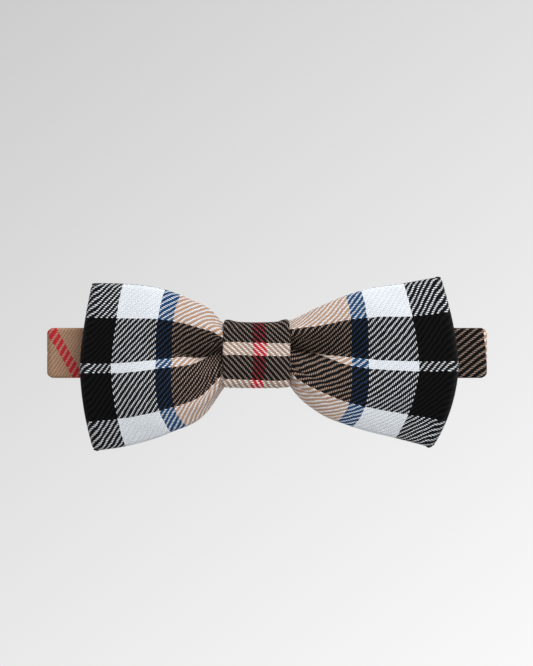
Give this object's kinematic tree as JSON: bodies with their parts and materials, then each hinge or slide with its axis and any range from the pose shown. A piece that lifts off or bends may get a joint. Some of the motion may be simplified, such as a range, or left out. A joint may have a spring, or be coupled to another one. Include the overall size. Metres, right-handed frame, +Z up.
{
  "type": "bow tie",
  "caption": "Ready-tied bow tie: pinched cloth loop and wrapped knot on a flat neck band folded behind it, closed by a hook, an eye and a slide adjuster.",
  "frame": {"origin": "Middle of the knot's back face, the point that lies on the collar button.", "axes": "+Z up as worn, +X to the onlooker's right along the bow's width, +Y from the onlooker towards the wearer, so the front faces -Y."},
  "size_m": [0.1408, 0.0265, 0.0553],
  "materials": {
    "bow_tartan": null,
    "knot_tartan": "the same wool twill, tan and black rows with a thin red line",
    "band_tartan": "the same wool twill cut on the bias, mostly tan and black",
    "interlining": "unbleached woven interlining",
    "thread": "matt black polyester thread",
    "nickel": "satin nickel plate on stamped steel"
  },
  "bodies": {
    "bow": {"bow_cloth": "bow_tartan", "bow_interlining": "interlining", "gather_thread": "thread", "knot_wrap": "knot_tartan", "knot_interlining": "interlining", "knot_seam_thread": "thread"},
    "band": {"band_centre": "band_tartan", "band_centre_interlining": "interlining", "left_tab_fold": "band_tartan", "right_tab_fold": "band_tartan"},
    "left_tail_inner": {"left_tail_inner": "band_tartan", "left_tail_inner_interlining": "interlining", "left_mid_fold": "band_tartan"},
    "left_tail_outer": {"left_tail_outer": "band_tartan", "left_tail_outer_interlining": "interlining", "left_end_loop": "band_tartan", "eye_tack": "thread"},
    "eye": {"eye_ring": "nickel"},
    "right_tail_inner": {"right_tail_inner": "band_tartan", "right_tail_inner_interlining": "interlining", "right_mid_fold": "band_tartan"},
    "right_tail_outer": {"right_tail_outer": "band_tartan", "right_tail_outer_interlining": "interlining"},
    "adjuster": {"slide_adjuster": "nickel", "adjuster_strap_end": "band_tartan", "adjuster_tack": "thread", "return_strap": "band_tartan"},
    "strap_end": {"strap_end_loop": "band_tartan"},
    "hook": {"hook": "nickel"}
  },
  "joints": [
    {"name": "bow_on_band", "type": "slide", "parent": "bow", "child": "band", "axis": [1, 0, 0], "range_m": [-0.008, 0.008]},
    {"name": "left_tab_fold_joint", "type": "hinge", "parent": "band", "child": "left_tail_inner", "pos_m": [-0.06711, -0.0004, 0.0003], "axis": [0, 0, 1], "range_deg": [0, 180], "deforming": ["left_tab_fold"]},
    {"name": "left_mid_fold_joint", "type": "hinge", "parent": "left_tail_inner", "child": "left_tail_outer", "pos_m": [-0.00149, 0.0028, 0.0003], "axis": [0, 0, -1], "range_deg": [0, 180], "deforming": ["left_mid_fold"]},
    {"name": "eye_pivot", "type": "hinge", "parent": "left_tail_outer", "child": "eye", "pos_m": [-0.0434, 0.0061, 0.0003], "axis": [0, 0, -1], "range_deg": [-8, 150]},
    {"name": "right_tab_fold_joint", "type": "hinge", "parent": "band", "child": "right_tail_inner", "pos_m": [0.07371, -0.0004, 0.0003], "axis": [0, 0, -1], "range_deg": [0, 180], "deforming": ["right_tab_fold"]},
    {"name": "right_mid_fold_joint", "type": "hinge", "parent": "right_tail_inner", "child": "right_tail_outer", "pos_m": [0.00149, 0.0028, 0.0003], "axis": [0, 0, 1], "range_deg": [0, 180], "deforming": ["right_mid_fold"]},
    {"name": "adjuster_slide", "type": "slide", "parent": "right_tail_outer", "child": "adjuster", "axis": [1, 0, 0], "range_m": [-0.004, 0.014], "deforming": ["return_strap"]},
    {"name": "hook_travel", "type": "slide", "parent": "adjuster", "child": "strap_end", "axis": [1, 0, 0], "range_m": [-0.007, 0.002]},
    {"name": "hook_pivot", "type": "hinge", "parent": "strap_end", "child": "hook", "pos_m": [0.0515, 0.0061, 0.0003], "axis": [0, 0, 1], "range_deg": [-8, 135]}
  ],
  "couplings": [
    {"joint": "left_mid_fold_joint", "follows": "left_tab_fold_joint", "ratio": 1},
    {"joint": "right_mid_fold_joint", "follows": "right_tab_fold_joint", "ratio": 1},
    {"joint": "hook_travel", "follows": "adjuster_slide", "ratio": -0.5}
  ]
}
